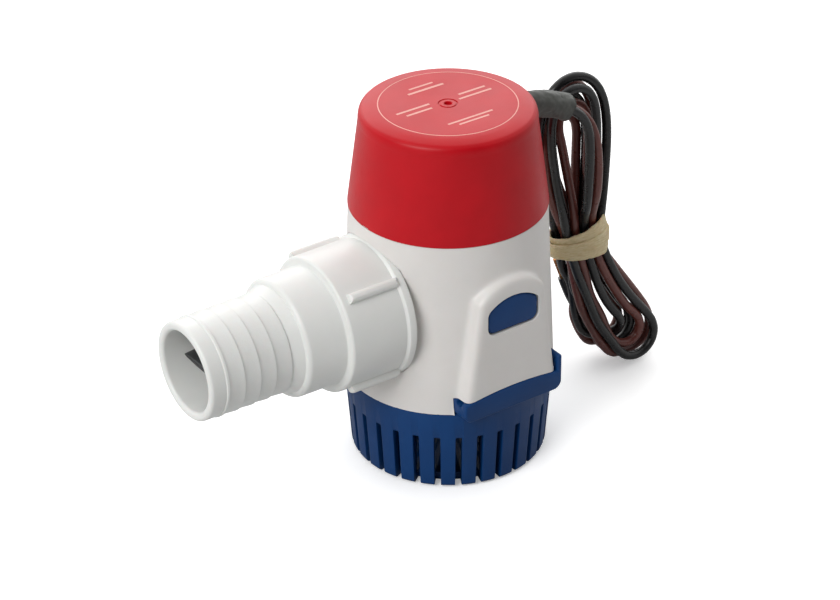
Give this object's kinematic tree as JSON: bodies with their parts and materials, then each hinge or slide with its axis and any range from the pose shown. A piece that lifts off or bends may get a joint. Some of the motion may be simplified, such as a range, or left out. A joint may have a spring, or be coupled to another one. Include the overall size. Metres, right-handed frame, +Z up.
{
  "type": "bilge pump",
  "caption": "Submersible bilge pump with slatted strainer foot, sealed motor, barbed side outlet with check valve, spring release tabs and tied hank of leads.",
  "frame": {"origin": "centre of the strainer's underside, on the pump's axis", "axes": "+Z up along the shaft, -X along the outlet nozzle towards its mouth, release tabs face -Y and +Y"},
  "size_m": [0.1681, 0.0628, 0.1087],
  "materials": {
    "blue_plastic": "moulded, satin",
    "white_plastic": "moulded, satin",
    "nozzle_plastic": "moulded, satin",
    "canister_plastic": "moulded, satin",
    "red_plastic": "moulded, satin gloss, pale print",
    "seal_rubber": "smooth",
    "valve_rubber": "smooth, soft",
    "can_steel": "zinc plated",
    "ferrite": "sintered, ground",
    "bush_bronze": "sintered bronze",
    "bell_plastic": "moulded",
    "leaf_brass": "stamped",
    "carbon": "pressed carbon",
    "tinned_brass": "tinned",
    "connector_plastic": "moulded",
    "shaft_steel": "ground",
    "core_steel": "stamped laminations",
    "winding_copper": "enamelled copper wire",
    "commutator_copper": "turned copper",
    "nylon": "moulded",
    "impeller_plastic": "moulded",
    "sleeve_rubber": "heat-shrunk",
    "lead_black": "extruded PVC, satin",
    "lead_brown": "extruded PVC, satin",
    "band_rubber": "natural rubber, matt"
  },
  "bodies": {
    "case": {"strainer": "blue_plastic", "housing": "white_plastic", "inlet_plate": "white_plastic", "nozzle": "nozzle_plastic", "motor_canister": "canister_plastic", "cap": "red_plastic", "cap_seal": "seal_rubber", "nozzle_seal": "seal_rubber", "shaft_seal": "seal_rubber", "check_valve": "valve_rubber", "motor_can": "can_steel", "seal_retainer": "can_steel", "field_magnets": "ferrite", "lower_bush": "bush_bronze", "upper_bush": "bush_bronze", "end_bell": "bell_plastic", "brush_arms": "leaf_brass", "brushes": "carbon", "terminals": "tinned_brass", "lead_connectors": "connector_plastic", "strain_relief": "sleeve_rubber", "inner_lead_black": "lead_black", "lead_black": "lead_black", "lead_hank": "lead_black", "inner_lead_brown": "lead_brown", "lead_brown": "lead_brown", "hank_band": "band_rubber"},
    "rotor": {"shaft": "shaft_steel", "armature_core": "core_steel", "windings": "winding_copper", "commutator": "commutator_copper", "spacer_washers": "nylon", "impeller": "impeller_plastic", "impeller_clip": "can_steel"},
    "tab_near": {"release_tab_near": "blue_plastic"},
    "tab_far": {"release_tab_far": "blue_plastic"}
  },
  "joints": [
    {"name": "rotor_spin", "type": "hinge", "parent": "case", "child": "rotor", "pos_m": [0, 0, 0.05], "axis": [0, 0, 1], "continuous": true},
    {"name": "press_tab_near", "type": "hinge", "parent": "case", "child": "tab_near", "pos_m": [0, -0.02815, 0.0311], "axis": [-1, 0, 0], "range_deg": [0, 4], "stiffness_Nm_per_rad": 0.6},
    {"name": "press_tab_far", "type": "hinge", "parent": "case", "child": "tab_far", "pos_m": [0, 0.02815, 0.0311], "axis": [1, 0, 0], "range_deg": [0, 4], "stiffness_Nm_per_rad": 0.6}
  ]
}
